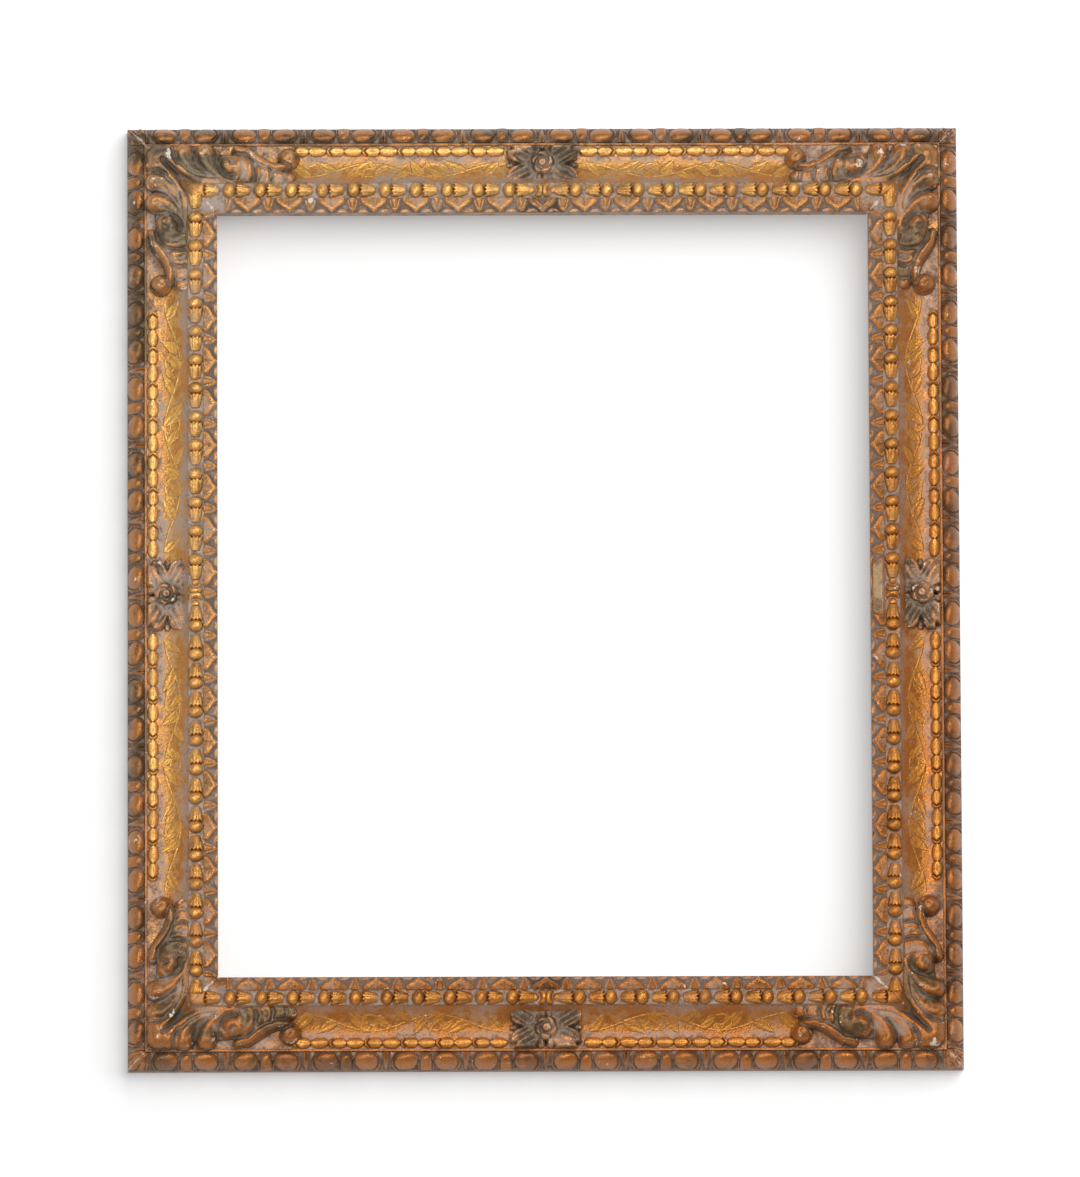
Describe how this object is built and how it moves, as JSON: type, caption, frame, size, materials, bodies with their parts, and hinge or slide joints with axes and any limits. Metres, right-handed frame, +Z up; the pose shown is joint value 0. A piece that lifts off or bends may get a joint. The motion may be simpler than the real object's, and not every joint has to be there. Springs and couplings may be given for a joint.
{
  "type": "picture frame",
  "caption": "Carved and gilded wall-hung picture frame with a beaded sight edge, hollow frieze, leaf corners and centre flowers, turn buttons and ring hangers on the back.",
  "frame": {"origin": "centre of the rear face of the top outer moulding, where the frame bears on the wall", "axes": "+Z up, +X to the right seen from the front, +Y into the wall, so the carved front faces -Y"},
  "size_m": [0.766, 0.0525, 0.876],
  "materials": {
    "gilt_wood": "aged gilding on gesso, rubbed and dusty",
    "bronzed_gilding": "darkened bronze paint over gesso with chips",
    "bare_wood": "aged bare pine",
    "brassed_steel": "dull brassed plate",
    "steel": "dull steel",
    "brass_plate": "dull brass"
  },
  "bodies": {
    "frame": {"back_rail_top": "bare_wood", "back_stile_right": "bare_wood", "back_rail_bottom": "bare_wood", "back_stile_left": "bare_wood", "sight_moulding_top": "gilt_wood", "frieze_top": "gilt_wood", "outer_moulding_top": "gilt_wood", "centre_flower_top": "bronzed_gilding", "sight_moulding_right": "gilt_wood", "frieze_right": "gilt_wood", "outer_moulding_right": "gilt_wood", "centre_flower_right": "bronzed_gilding", "sight_moulding_bottom": "gilt_wood", "frieze_bottom": "gilt_wood", "outer_moulding_bottom": "gilt_wood", "centre_flower_bottom": "bronzed_gilding", "sight_moulding_left": "gilt_wood", "frieze_left": "gilt_wood", "outer_moulding_left": "gilt_wood", "centre_flower_left": "bronzed_gilding", "corner_ornament_top_left": "bronzed_gilding", "corner_ornament_top_right": "bronzed_gilding", "corner_ornament_bottom_right": "bronzed_gilding", "corner_ornament_bottom_left": "bronzed_gilding", "lap_pegs": "bare_wood", "hanger_strap_left": "brassed_steel", "hanger_strap_right": "brassed_steel", "hanger_screws": "steel", "turn_button_screws": "steel", "title_plate": "brass_plate"},
    "left_ring": {"hanger_ring_left": "brassed_steel"},
    "right_ring": {"hanger_ring_right": "brassed_steel"},
    "top_button": {"turn_button_top": "brassed_steel"},
    "right_button": {"turn_button_right": "brassed_steel"},
    "bottom_button": {"turn_button_bottom": "brassed_steel"},
    "left_button": {"turn_button_left": "brassed_steel"}
  },
  "joints": [
    {"name": "left_ring_swing", "type": "hinge", "parent": "frame", "child": "left_ring", "pos_m": [-0.3308, -0.00284, -0.2389], "axis": [0, 0, 1], "range_deg": [0, 165]},
    {"name": "right_ring_swing", "type": "hinge", "parent": "frame", "child": "right_ring", "pos_m": [0.3308, -0.00284, -0.2389], "axis": [0, 0, -1], "range_deg": [0, 165]},
    {"name": "top_button_turn", "type": "hinge", "parent": "frame", "child": "top_button", "pos_m": [0, -0.0055, -0.0554], "axis": [0, 1, 0], "continuous": true},
    {"name": "right_button_turn", "type": "hinge", "parent": "frame", "child": "right_button", "pos_m": [0.3185, -0.0055, -0.4289], "axis": [0, 1, 0], "continuous": true},
    {"name": "bottom_button_turn", "type": "hinge", "parent": "frame", "child": "bottom_button", "pos_m": [0, -0.0055, -0.8024], "axis": [0, 1, 0], "continuous": true},
    {"name": "left_button_turn", "type": "hinge", "parent": "frame", "child": "left_button", "pos_m": [-0.3185, -0.0055, -0.4289], "axis": [0, 1, 0], "continuous": true}
  ]
}
